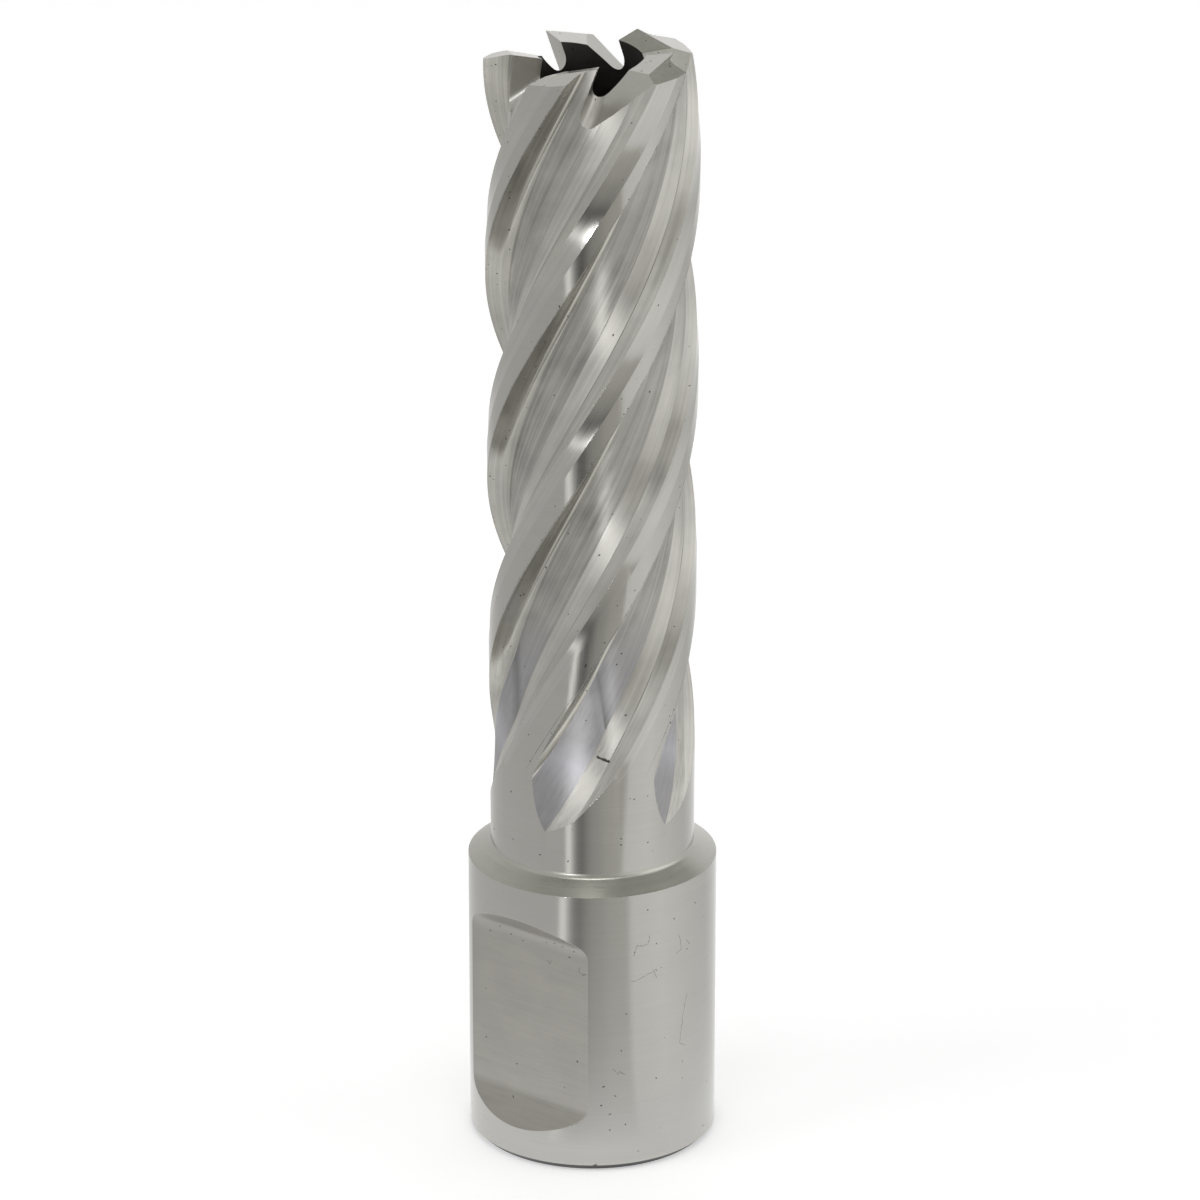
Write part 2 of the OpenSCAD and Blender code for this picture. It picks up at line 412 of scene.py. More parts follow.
for i in range(FLUTES):
    root_x = TIP_LEAD + GULLET_LEAD - GULLET_LAGS[i]
    root_y = math.sqrt(CORE_R**2 - root_x**2)
    name, points, faces, finishes = prism(
        "gullet", gullet_outline(), -root_y, GULLET_LENGTH - root_y,
        lambda p, d: gullet_place(p, d, root_x, root_y), GULLET,
    )
    cut(cutter, solid(name, turned_to(points, TOOTH_BEARING + i * PITCH), faces, finishes))
print("after the gullets:", len(cutter.data.polygons), "faces")

# %% [markdown]
# ## Shading the mesh
# Round surfaces should shade smoothly while every ground edge stays crisp, so the faces are smooth
# and only edges that turn by more than a few degrees are marked sharp.

# %% Smooth faces, sharp edges
SHARP = math.radians(11)
cutter.data.shade_smooth()
cutter.data.set_sharp_from_angle(angle=SHARP)
print("cutter:", sum(len(p.vertices) - 2 for p in cutter.data.polygons), "triangles")

# %% [markdown]
# ## Steel
# All finishes are bare steel and differ in roughness, tone and the direction of the tool marks; the
# near-black chamfer and bore are painted shade and the paler backs of the flutes painted light. The
# marks are too fine to model, so a noise pulled out along the direction of working gives a small
# bump and a slight change of tone.

# %% Node helpers
def add(tree, kind, **inputs):
    """A node with its input values set by name; a socket as value makes a link."""
    node = tree.nodes.new(kind)
    for key, value in inputs.items():
        socket = node.inputs[int(key[1:])] if key[0] == "i" and key[1:].isdigit() else node.inputs[key]
        if isinstance(value, bpy.types.NodeSocket):
            tree.links.new(value, socket)
        else:
            socket.default_value = value
    return node


def maths(tree, operation, *values):
    node = add(tree, "ShaderNodeMath", **{f"i{k}": v for k, v in enumerate(values)})
    node.operation = operation
    return node.outputs[0]


def new_group(name, inputs, outputs):
    group = bpy.data.node_groups.new(name, "ShaderNodeTree")
    for label, kind in inputs:
        group.interface.new_socket(label, in_out="INPUT", socket_type=kind)
    for label, kind in outputs:
        group.interface.new_socket(label, in_out="OUTPUT", socket_type=kind)
    return group, group.nodes.new("NodeGroupInput"), group.nodes.new("NodeGroupOutput")


def place_group(tree, group, **inputs):
    node = tree.nodes.new("ShaderNodeGroup")
    node.node_tree = group
    for key, value in inputs.items():
        socket = node.inputs[key.replace("_", " ")]
        if isinstance(value, bpy.types.NodeSocket):
            tree.links.new(value, socket)
        else:
            socket.default_value = value
    return node


def ranged(tree, value, low, high, to_low, to_high):
    """The value moved from one range to another and held there."""
    node = add(tree, "ShaderNodeMapRange", i0=value, i1=low, i2=high, i3=to_low, i4=to_high)
    return node.outputs[0]


def vectors(tree, operation, *values):
    node = add(tree, "ShaderNodeVectorMath", **{f"i{k}": v for k, v in enumerate(values)})
    node.operation = operation
    return node


def weighed(tree, first, second, share):
    """A share of the first value and the rest of the second."""
    part, rest = maths(tree, "MULTIPLY", first, share), maths(tree, "MULTIPLY", second, 1 - share)
    return maths(tree, "ADD", part, rest)


VALUE, VECTOR = "NodeSocketFloat", "NodeSocketVector"
print("node helpers ready")

# %% [markdown]
# ### Tool marks
# The group takes a place on the tool in millimetres and a stretch for each axis. Two layers of
# noise, one fine and one coarse, make the lines; a third, unstretched, makes the tone uneven.

# %% Group: tool marks
marks, marks_in, marks_out = new_group(
    "tool_marks", [("Place", VECTOR), ("Stretch", VECTOR)], [("Height", VALUE), ("Tone", VALUE)]
)
FINE_SCALE, COARSE_SCALE, CLOUD_SCALE = 1.0, 0.22, 0.35
FINE_SHARE, CLOUD_SHARE = 0.6, 0.35
mark_place = marks_in.outputs["Place"]
stretched = vectors(marks, "MULTIPLY", mark_place, marks_in.outputs["Stretch"]).outputs[0]
fine = add(
    marks, "ShaderNodeTexNoise", Vector=stretched, Scale=FINE_SCALE, Detail=3.0, Roughness=0.6
).outputs[0]
coarse = add(
    marks, "ShaderNodeTexNoise", Vector=stretched, Scale=COARSE_SCALE, Detail=2.0, Roughness=0.6
).outputs[0]
line_height = weighed(marks, fine, coarse, FINE_SHARE)
marks.links.new(line_height, marks_out.inputs["Height"])
cloud = add(marks, "ShaderNodeTexNoise", Vector=mark_place, Scale=CLOUD_SCALE, Detail=3.0)
line_tone = weighed(marks, cloud.outputs[0], line_height, CLOUD_SHARE)
marks.links.new(line_tone, marks_out.inputs["Tone"])
print("group tool_marks:", len(marks.nodes), "nodes")

# %% [markdown]
# ### Unwinding the helix
# Marks in the flutes follow the helix. Turning each place back by the twist at its height makes the
# helix straight, so the same tool marks can be used there with a stretch along the axis.

# %% Group: place on the tool
spot, spot_in, spot_out = new_group("tool_place", [("Twist", VALUE)], [("Place", VECTOR)])
where = spot.nodes.new("ShaderNodeTexCoord")
in_mm = vectors(spot, "MULTIPLY", where.outputs["Object"], (1 / MM,) * 3).outputs[0]
height_mm = add(spot, "ShaderNodeSeparateXYZ", i0=in_mm).outputs[2]
unwound = add(
    spot, "ShaderNodeVectorRotate", Vector=in_mm,
    Angle=maths(spot, "MULTIPLY", height_mm, spot_in.outputs["Twist"]),
)
unwound.rotation_type = "Z_AXIS"
spot.links.new(unwound.outputs[0], spot_out.inputs["Place"])
print("group tool_place:", len(spot.nodes), "nodes")

# %% [markdown]
# ### Soft edges
# A ground edge is never perfectly sharp. The Bevel node rounds the normal over a few hundredths of
# a millimetre, which gives each edge its thin bright line.

# %% Group: soft edge
edge, edge_in, edge_out = new_group("soft_edge", [("Radius", VALUE)], [("Normal", VECTOR)])
rounded = add(edge, "ShaderNodeBevel", Radius=edge_in.outputs["Radius"])
edge.links.new(rounded.outputs[0], edge_out.inputs["Normal"])
print("group soft_edge:", len(edge.nodes), "nodes")

# %% [markdown]
# ### Pits
# The tool has been handled: small dark pits are scattered over it, more of them along the cutting
# edges. Cells of a Voronoi pattern give the places, a share of the cells is chosen, and a shaken
# place makes the outlines ragged.

# %% Group: pits
pits, pits_in, pits_out = new_group(
    "pits", [("Place", VECTOR), ("Per Mm", VALUE), ("Size", VALUE), ("Share", VALUE)], [("Mask", VALUE)]
)
SHAKE_SCALE, SHAKE_MM = 4.0, 0.3
pit_place = pits_in.outputs["Place"]
shake = add(pits, "ShaderNodeTexNoise", Vector=pit_place, Scale=SHAKE_SCALE, Detail=2.0)
ragged = vectors(pits, "MULTIPLY_ADD", shake.outputs["Color"], (SHAKE_MM,) * 3, pit_place)
cells = add(pits, "ShaderNodeTexVoronoi", Vector=ragged.outputs[0], Scale=pits_in.outputs["Per Mm"])
luck = add(pits, "ShaderNodeSeparateColor", i0=cells.outputs["Color"])
chosen = maths(pits, "LESS_THAN", luck.outputs[0], pits_in.outputs["Share"])
reach = maths(pits, "MULTIPLY", luck.outputs[1], pits_in.outputs["Size"])
inside = maths(pits, "LESS_THAN", cells.outputs["Distance"], reach)
pits.links.new(maths(pits, "MULTIPLY", chosen, inside), pits_out.inputs["Mask"])
print("group pits:", len(pits.nodes), "nodes")

# %% [markdown]
# ### Where a place lies between two leading edges
# Unwound, the five leading edges are five straight lines along the tool. The bearing past the last
# edge tells how far a place is from it, which steers the pits to the edges and places thin lines of
# painted shade along the creases of each flute and beside each leading edge. The height tells where
# the fluted part starts.

# %% Group: past the edge
past, past_in, past_out = new_group(
    "past_edge", [("Place", VECTOR)], [("Degrees", VALUE), ("Near Edge", VALUE), ("Height", VALUE)]
)
EDGE_BEARING = (TOOTH_BEARING - EDGE_Z * TURN) % PITCH
EDGE_BAND = 4.0
FLUTED_FROM = (31.5, 33.0)
axes = add(past, "ShaderNodeSeparateXYZ", i0=past_in.outputs["Place"])
bearing_now = maths(past, "ARCTAN2", axes.outputs[0], maths(past, "MULTIPLY", axes.outputs[1], -1.0))
from_edge = maths(past, "SUBTRACT", maths(past, "DEGREES", bearing_now), EDGE_BEARING)
turns = maths(past, "DIVIDE", from_edge, PITCH)
degrees_past = maths(past, "MULTIPLY", maths(past, "FRACT", turns), PITCH)
past.links.new(degrees_past, past_out.inputs["Degrees"])
from_middle = maths(past, "ABSOLUTE", maths(past, "SUBTRACT", degrees_past, PITCH / 2))
near_edge = ranged(past, from_middle, PITCH / 2 - EDGE_BAND, PITCH / 2, 0.0, 1.0)
fluted = ranged(past, axes.outputs[2], *FLUTED_FROM, 0.0, 1.0)
past.links.new(maths(past, "MULTIPLY", near_edge, fluted), past_out.inputs["Near Edge"])
past.links.new(axes.outputs[2], past_out.inputs["Height"])
print("leading edges unwound at", round(EDGE_BEARING, 1), "degrees and every", PITCH)

# %% [markdown]
# ### Scars on the shank
# The shank carries a few real scratches and knocks. Each is a short chain of straight strokes on
# the unrolled shank, given as millimetres round from the front and millimetres up. One stroke is a
# group of its own, so a chain is a loop over pairs of points.

# %% Group: one stroke
stroke, stroke_in, stroke_out = new_group(
    "stroke", [("Spot", VECTOR), ("From", VECTOR), ("To", VECTOR), ("Width", VALUE)], [("Mask", VALUE)]
)
FADE_FROM, FADE_TO = 1.0, 0.4
run = vectors(stroke, "SUBTRACT", stroke_in.outputs["To"], stroke_in.outputs["From"]).outputs[0]
off = vectors(stroke, "SUBTRACT", stroke_in.outputs["Spot"], stroke_in.outputs["From"]).outputs[0]
share = maths(
    stroke, "DIVIDE",
    vectors(stroke, "DOT_PRODUCT", off, run).outputs["Value"],
    vectors(stroke, "DOT_PRODUCT", run, run).outputs["Value"],
)
held = add(stroke, "ShaderNodeClamp", Value=share).outputs[0]
nearest = add(stroke, "ShaderNodeVectorMath", i0=run)
nearest.operation = "SCALE"
stroke.links.new(held, nearest.inputs["Scale"])
beside = vectors(stroke, "SUBTRACT", off, nearest.outputs[0]).outputs[0]
gap = vectors(stroke, "LENGTH", beside).outputs["Value"]
widths = maths(stroke, "DIVIDE", gap, stroke_in.outputs["Width"])
stroke.links.new(ranged(stroke, widths, FADE_FROM, FADE_TO, 0.0, 1.0), stroke_out.inputs["Mask"])
print("group stroke:", len(stroke.nodes), "nodes")

# %% [markdown]
# ### Where the scars are
# A scratch is a few points, placed about where the tool in the photograph has one; a knock is a
# single short stroke. A noise shifts the unrolled place a little, so that the strokes wander.

# %% Group: shank scars
SCRATCHES = [
    [(3.2, 17.8), (3.45, 18.6), (4.4, 18.55), (4.5, 19.3)],
    [(7.0, 17.1), (7.55, 17.5), (7.3, 18.7)],
    [(8.1, 17.95), (8.5, 17.55)],
    [(3.05, 15.7), (3.7, 15.85), (4.95, 16.3)],
    [(4.85, 16.45), (5.1, 15.7)],
    [(8.2, 13.5), (7.75, 11.9), (7.4, 9.55), (8.05, 9.15)],
    [(1.55, 8.55), (2.0, 8.1), (2.1, 8.35), (2.5, 8.05)],
    [(-4.3, 16.6), (-4.0, 16.3), (-3.9, 16.75)],
    [(-1.0, 16.9), (-1.1, 16.5), (-0.8, 16.3), (-0.5, 16.5)],
]
KNOCKS = [
    (0.8, 7.15), (1.7, 6.3), (0.65, 5.55), (1.3, 4.8), (1.3, 3.5), (2.55, 13.1), (9.15, 20.7),
    (-9.75, 18.25), (-8.7, 17.85), (-7.3, 17.6), (-4.4, 18.15), (-3.5, 18.25), (-2.6, 18.2),
    (-2.0, 17.4), (-1.5, 18.1), (-5.1, 25.2), (-8.4, 25.7), (3.9, 29.9), (8.0, 29.9),
]
NICK = [(0.55, 33.15), (1.7, 32.85)]
FOOT_NICK = [(0.1, 0.5), (0.3, 0.5)]
SCRATCH_W, KNOCK_W, NICK_W = 0.035, 0.07, 0.16
SCRATCH_TONE, KNOCK_TONE = 0.5, 0.9
WANDER_SCALE, WANDER_MM = 2.5, 0.3


def scar_group(name, strokes):
    """A mask of strokes (start, end, width, strength) on the tool unrolled at the shank radius."""
    group, group_in, group_out = new_group(name, [("Place", VECTOR)], [("Mask", VALUE)])
    place = group_in.outputs["Place"]
    xyz = add(group, "ShaderNodeSeparateXYZ", i0=place).outputs
    angle = maths(group, "ARCTAN2", xyz[0], maths(group, "MULTIPLY", xyz[1], -1.0))
    unrolled = add(group, "ShaderNodeCombineXYZ", X=maths(group, "MULTIPLY", angle, SHANK_R), Y=xyz[2])
    wander = add(group, "ShaderNodeTexNoise", Vector=place, Scale=WANDER_SCALE, Detail=2.0)
    most, least = (WANDER_MM, WANDER_MM, 0.0), (-WANDER_MM / 2, -WANDER_MM / 2, 0.0)
    shaken = vectors(group, "MULTIPLY_ADD", wander.outputs["Color"], most, least)
    spot_now = vectors(group, "ADD", unrolled.outputs[0], shaken.outputs[0]).outputs[0]
    mask = 0.0
    for a, b, width, strength in strokes:
        one = place_group(group, stroke, Spot=spot_now, From=(*a, 0), To=(*b, 0), Width=width)
        mask = maths(group, "MAXIMUM", maths(group, "MULTIPLY", one.outputs[0], strength), mask)
    group.links.new(mask, group_out.inputs["Mask"])
    return group


shank_strokes = []
for chain in SCRATCHES:
    shank_strokes += [(a, b, SCRATCH_W, SCRATCH_TONE) for a, b in zip(chain, chain[1:])]
shank_strokes += [((x, z), (x + KNOCK_W, z), KNOCK_W, KNOCK_TONE) for x, z in KNOCKS]
shank_strokes.append((*FOOT_NICK, NICK_W, 1.0))
shank_scars = scar_group("shank_scars", shank_strokes)
flute_nick = scar_group("flute_nick", [(*NICK, NICK_W, 1.0)])
print("strokes:", len(shank_strokes) + 1)

# %% [markdown]
# ### Mixing colours
# The steel changes in tone from place to place. A Mix node gives a colour between two others, and
# a mask that is 1 on a line and fades to both sides says where.

# %% Colour helpers
def mixed(tree, factor, wear_and_shade, light):
    """A colour between two; each may be a socket or a plain colour."""
    node = tree.nodes.new("ShaderNodeMix")
    node.data_type = "RGBA"
    tree.links.new(factor, node.inputs[0])
    for value, socket in ((wear_and_shade, node.inputs[6]), (light, node.inputs[7])):
        if isinstance(value, bpy.types.NodeSocket):
            tree.links.new(value, socket)
        else:
            socket.default_value = (*value, 1)
    return node.outputs[2]


def up_flute(tree, edge_now, sweep):
    """Height along a flute, in millimetres, on lines that fall by the sweep for each degree."""
    return maths(tree, "MULTIPLY_ADD", edge_now.outputs["Degrees"], sweep, edge_now.outputs["Height"])


def band(tree, value, centre, half):
    """1 at the centre, falling to 0 at half a width to both sides."""
    off_centre = maths(tree, "ABSOLUTE", maths(tree, "SUBTRACT", value, centre))
    return ranged(tree, off_centre, half, 0.0, 0.0, 1.0)


print("colour helpers ready")

# %% [markdown]
# ### The run-out ramp
# Where a flute ends, its ramp is a little cooler in tone, with a painted highlight, a bright band
# near the lower end, and painted shade, a dark line where the ramp starts. It is also slightly
# hollow; a bump shows that well enough, as the hollow is too shallow to be seen in the outline.

# %% Run-out ramp
TONE_RANGE = (0.36, 0.64)
RAMP_TINT, RAMP_TINT_AT, RAMP_TINT_SHARE = (0.38, 0.38, 0.42), (44.0, 40.0), 0.6
# Painted highlight: a bright band across the ramp, where a lamp's streaked highlight would fall.
RAMP_PAINTED_HIGHLIGHT, HIGHLIGHT_AT, HIGHLIGHT_HALF, HIGHLIGHT_SWEEP = (0.62, 0.62, 0.67), 33.6, 1.9, 0.046
HIGHLIGHT_STREAKS = (0.4, 1.0)
# Painted shade: a dark line where the ramp starts.
RAMP_START_SHADE, RAMP_SHADE_HALF, RAMP_SHADE_SHARE = (0.2, 0.2, 0.2), 1.5, 0.6
RAMP_HOLLOW = 0.165


def ramp_hollow(tree, edge_now, depth):
    """A height that is least at half the length of the ramp."""
    up_ramp = up_flute(tree, edge_now, RUNOUT_SWEEP)
    from_half = ranged(tree, up_ramp, RUNOUT_Z - RUNOUT_L, RUNOUT_Z, -1.0, 1.0)
    return maths(tree, "MULTIPLY", maths(tree, "MULTIPLY", from_half, from_half), depth)


def ramp_tint_and_painted_light(tree, edge_now, streaks, base):
    """Cooler in tone, with a painted highlight near the lower end and painted shade where the ramp
    starts.
    """
    low_down = ranged(tree, edge_now.outputs["Height"], *RAMP_TINT_AT, 0.0, RAMP_TINT_SHARE)
    base = mixed(tree, low_down, base, RAMP_TINT)
    # Painted highlight, broken by the streaks.
    painted_highlight = band(tree, up_flute(tree, edge_now, HIGHLIGHT_SWEEP), HIGHLIGHT_AT, HIGHLIGHT_HALF)
    painted_highlight = maths(tree, "MULTIPLY", painted_highlight, ranged(tree, streaks, *TONE_RANGE, *HIGHLIGHT_STREAKS))
    base = mixed(tree, painted_highlight, base, RAMP_PAINTED_HIGHLIGHT)
    # Painted shade where the ramp starts.
    first = band(tree, up_flute(tree, edge_now, RUNOUT_SWEEP), RUNOUT_Z, RAMP_SHADE_HALF)
    return mixed(tree, maths(tree, "MULTIPLY", first, RAMP_SHADE_SHARE), base, RAMP_START_SHADE)


print("run-out ramp from", RUNOUT_Z, "mm down over", RUNOUT_L, "mm")

# %% [markdown]
# ### One finish
# Each finish is a metal shader. Its colour, roughness and bump follow the tool marks; pits and scars
# darken it and roughen it, and so do thin lines of painted shade along creases and leading edges.

# %% One finish
STEEL = (0.50, 0.495, 0.47)
PIT_AND_SHADE_TONE, PIT_ROUGH = 0.18, 0.3
PITS_PER_MM, PIT_SIZE, PIT_SHARE, PIT_SHARE_EDGE = 3.0, 0.24, 0.03, 0.6
# Tone and breaks of the thin lines of painted shade along the flutes.
SHADE_LINE_TONE, SHADE_LINE_BREAKS = 0.6, (0.42, 0.6)
ROUGH_SPREAD = 0.2
HELIX_TWIST = -math.radians(TURN)


def painted_shade_line(tree, edge_now, streaks, shade_line_at, width):
    """Mask of a broken line of painted shade along the flutes, some degrees past the edge."""
    off_shade_line = maths(tree, "SUBTRACT", edge_now.outputs["Degrees"], shade_line_at)
    on_line = ranged(tree, maths(tree, "ABSOLUTE", off_shade_line), width, width / 3, 0.0, 1.0)
    line = maths(tree, "MULTIPLY", on_line, ranged(tree, streaks, *SHADE_LINE_BREAKS, 0.0, SHADE_LINE_TONE))
    fluted_now = ranged(tree, edge_now.outputs["Height"], *FLUTED_FROM, 0.0, 1.0)
    return maths(tree, "MULTIPLY", line, fluted_now)


def steel(
    finish, rough, stretch, relief, tone, helical=False, colour=STEEL,
    scars=None, steps=(), edge_round=0.05, pitted=1.0, ramp=False,
):
    """Sets a finish: roughness, stretch of the tool marks, their depth in mm and their tone."""
    material = finish_materials[finish]
    material.use_nodes = True
    tree = material.node_tree
    shader = tree.nodes["Principled BSDF"]
    shader.inputs["Metallic"].default_value = 1.0
    straight = place_group(tree, spot, Twist=0.0).outputs[0]
    unwound_place = place_group(tree, spot, Twist=HELIX_TWIST).outputs[0]
    lines = place_group(tree, marks, Place=unwound_place if helical else straight, Stretch=stretch)
    height, streaks = lines.outputs["Height"], lines.outputs["Tone"]
    edge_now = place_group(tree, past, Place=unwound_place)

    share = ranged(tree, edge_now.outputs["Near Edge"], 0.0, 1.0, PIT_SHARE * pitted, PIT_SHARE_EDGE)
    wear_and_shade = place_group(
        tree, pits, Place=straight, Per_Mm=PITS_PER_MM, Size=PIT_SIZE, Share=share
    ).outputs[0]
    if scars:
        wear_and_shade = maths(tree, "MAXIMUM", wear_and_shade, place_group(tree, scars, Place=straight).outputs[0])
    # Thin lines of painted shade, one for each entry in steps.
    for shade_line_at, width in steps:
        wear_and_shade = maths(tree, "MAXIMUM", wear_and_shade, painted_shade_line(tree, edge_now, streaks, shade_line_at, width))

    low, high = ([c * (1 + side * tone) for c in colour] for side in (-1, 1))
    base = mixed(tree, ranged(tree, streaks, *TONE_RANGE, 0.0, 1.0), low, high)
    if ramp:
        base = ramp_tint_and_painted_light(tree, edge_now, streaks, base)
        height = maths(tree, "ADD", height, ramp_hollow(tree, edge_now, RAMP_HOLLOW / relief))
    # Pits, scars and the lines of painted shade all darken to the pit tone.
    tree.links.new(mixed(tree, wear_and_shade, base, [c * PIT_AND_SHADE_TONE for c in colour]), shader.inputs["Base Color"])
    even = ranged(tree, streaks, *TONE_RANGE, rough * (1 - ROUGH_SPREAD), rough * (1 + ROUGH_SPREAD))
    tree.links.new(maths(tree, "MULTIPLY_ADD", wear_and_shade, PIT_ROUGH, even), shader.inputs["Roughness"])
    soft = place_group(tree, edge, Radius=edge_round * MM)
    bump = add(tree, "ShaderNodeBump", Height=height, Normal=soft.outputs[0], Strength=1.0)
    bump.inputs["Distance"].default_value = relief * MM
    tree.links.new(bump.outputs[0], shader.inputs["Normal"])
    return tree, shader


print("steel colour", STEEL)

# %% [markdown]
# ### All finishes
# Turned and milled surfaces have lines round the tool or across the flat, ground ones have streaks
# along the helix. The wall, the floor and the back of a flute differ in roughness and tone, as they
# do in the photograph. The teeth have the most pits. Edges of ground faces are crisp, those of the
# drive flats are eased.

# %% Build the finishes
STREAKS = (4.0, 4.0, 0.06)
LAND_LINES = (5.0, 5.0, 0.12)
ROUND_LINES = (0.15, 0.15, 6.0)
MILL_LINES = (0.3, 0.3, 5.0)
DRILL_LINES = (0.3, 0.3, 3.0)
TOOTH_LINES, GULLET_LINES = (3.0, 3.0, 0.4), (2.0, 2.0, 2.0)
# Thin lines of painted shade: one beside each leading edge on the margin, where the rake wall turns
# away, and one along each of the two creases in the back of each flute.
EDGE_SHADE_LINE = (PITCH - 0.4, 0.4)
CREASE_SHADE_LINES = ((CREASE_FLOOR[0] + 0.2, 0.5), (CREASE_BACK[0], 0.4))
# The chamfer colour is near black: painted shade for the shadow on the floor that the chamfer faces.
SHOULDER_STEEL, CHAMFER_PAINTED_SHADE = (0.51, 0.505, 0.47), (0.09, 0.09, 0.09)
# The bore colour is near black: painted shade for the deep hollow.
MILLED_STEEL, BORE_PAINTED_SHADE = (0.44, 0.425, 0.395), (0.10, 0.096, 0.09)
# The back of a flute is paler than the wall and the floor: painted light for the lighter look of its
# facets.
WALL_STEEL, FLOOR_STEEL, PAINTED_PALE_BACK_STEEL = (0.52, 0.51, 0.47), (0.50, 0.49, 0.465), (0.57, 0.56, 0.53)
LAND_STEEL, TOOTH_STEEL, GULLET_STEEL = (0.53, 0.525, 0.50), (0.57, 0.56, 0.53), (0.54, 0.53, 0.50)
CRISP, EASED = 0.02, 0.35
steel(TURNED, 0.12, ROUND_LINES, 0.0007, 0.025, scars=shank_scars, steps=(EDGE_SHADE_LINE,))
steel(SHOULDER, 0.30, ROUND_LINES, 0.003, 0.08, colour=SHOULDER_STEEL)
# Painted shade on the chamfer.
steel(CHAMFER, 0.40, ROUND_LINES, 0.003, 0.10, colour=CHAMFER_PAINTED_SHADE)
steel(MILLED, 0.34, MILL_LINES, 0.004, 0.08, colour=MILLED_STEEL, scars=shank_scars, edge_round=EASED)
# Painted shade inside the bore.
steel(BORE, 0.45, DRILL_LINES, 0.004, 0.10, colour=BORE_PAINTED_SHADE)
steel(WALL, 0.20, STREAKS, 0.004, 0.22, True, WALL_STEEL, pitted=2.0, edge_round=CRISP)
floor_tree, floor_steel = steel(FLOOR, 0.36, STREAKS, 0.012, 0.40, True, FLOOR_STEEL, ramp=True)
# The paler back is painted light.
steel(BACK, 0.42, STREAKS, 0.008, 0.22, True, PAINTED_PALE_BACK_STEEL, flute_nick, CREASE_SHADE_LINES, CRISP)
steel(LAND, 0.15, LAND_LINES, 0.0016, 0.06, True, LAND_STEEL, edge_round=CRISP)
steel(TOOTH, 0.20, TOOTH_LINES, 0.0005, 0.06, colour=TOOTH_STEEL, pitted=6.0)
steel(GULLET, 0.40, GULLET_LINES, 0.0004, 0.06, colour=GULLET_STEEL, pitted=6.0, edge_round=CRISP)
print("finishes built:", len(finish_materials))

# %% [markdown]
# ### Streaked light in the flutes
# On the floor of a flute the lines are dense, so a highlight spreads across them. An anisotropic
# shader does this; its tangent is the direction on the surface that is square to the helix.

# %% Anisotropic flute floors
def across_helix(tree):
    """Direction on the surface square to the helical tool marks."""
    here = tree.nodes.new("ShaderNodeTexCoord").outputs["Object"]
    xyz = add(tree, "ShaderNodeSeparateXYZ", i0=here).outputs
    per_m = math.radians(TURN) / MM
    along = add(
        tree, "ShaderNodeCombineXYZ",
        X=maths(tree, "MULTIPLY", xyz[1], -per_m), Y=maths(tree, "MULTIPLY", xyz[0], per_m), Z=1.0,
    )
    outward = add(tree, "ShaderNodeCombineXYZ", X=xyz[0], Y=xyz[1], Z=0.0)
    return vectors(tree, "CROSS_PRODUCT", along.outputs[0], outward.outputs[0]).outputs[0]


floor_steel.inputs["Anisotropic"].default_value = 1.0
floor_tree.links.new(across_helix(floor_tree), floor_steel.inputs["Tangent"])
print("flute floors spread light across the helix")

# %% [markdown]
# ## Ride on the frame
# The whole tool is one rigid piece, so the new mesh rides on the only body and stands for the
# one solid.

# %% Hand the piece to the frame
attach(cutter, "root")
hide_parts("annular_cutter")
print("piece:", cutter.name)

# %% [markdown]
# ## Floor, light and background
# The tool stands on a wide pale floor in white surroundings. Steel shows what is round it, so the
# look of the metal comes from cards: dark and bright sectors that only reflections can see, as a
# photographer sets black and white cards round a shiny object.

# %% White surroundings
world = bpy.data.worlds.new("white_surround")
bpy.context.scene.world = world
world.use_nodes = True
sky = world.node_tree
background = sky.nodes["Background"]
AMBIENT = 0.3
WHITE = (1, 1, 1, 1)


def seen_directly(tree):
    """1 for camera, glossy and transmission rays, else 0."""
    path = tree.nodes.new("ShaderNodeLightPath")
    either = maths(tree, "MAXIMUM", path.outputs["Is Camera Ray"], path.outputs["Is Glossy Ray"])
    return maths(tree, "MAXIMUM", either, path.outputs["Is Transmission Ray"])


level = add(sky, "ShaderNodeMapRange", Value=seen_directly(sky))
level.inputs["To Min"].default_value = AMBIENT
level.inputs["To Max"].default_value = 1.0
background.inputs["Color"].default_value = WHITE
sky.links.new(level.outputs[0], background.inputs["Strength"])
print("white surroundings set")

# %% [markdown]
# ### Floor
# One large square is enough. It is pale and diffuse, so that the tool leaves a soft shadow on it,
# and it glows a little for the camera and for reflections, so that it passes into the white.

# %% Floor
FLOOR_HALF = 3.0
FLOOR_GLOW = 0.44
FLOOR_CORNERS = ((-1, -1), (1, -1), (1, 1), (-1, 1))
floor_mesh = bpy.data.meshes.new("floor")
floor_points = [(x * FLOOR_HALF, y * FLOOR_HALF, 0) for x, y in FLOOR_CORNERS]
floor_mesh.from_pydata(floor_points, [], [tuple(range(len(floor_points)))])
floor = bpy.data.objects.new("floor", floor_mesh)
bpy.context.scene.collection.objects.link(floor)
floor_paint = bpy.data.materials.new("pale_floor")
floor_paint.use_nodes = True
floor_mesh.materials.append(floor_paint)
floor_shader = floor_paint.node_tree.nodes["Principled BSDF"]
floor_shader.inputs["Base Color"].default_value = (0.9, 0.9, 0.9, 1)
floor_shader.inputs["Roughness"].default_value = 0.9
floor_shader.inputs["Emission Color"].default_value = WHITE
glow = maths(floor_paint.node_tree, "MULTIPLY", seen_directly(floor_paint.node_tree), FLOOR_GLOW)
floor_paint.node_tree.links.new(glow, floor_shader.inputs["Emission Strength"])
print("floor:", 2 * FLOOR_HALF, "m wide")

# %% [markdown]
# ### Cards
# A card glows, and only reflections see it: it is hidden from the camera, lights nothing else and
# casts no shadow. A band of faces round the axis makes a card that closes in on the tool.

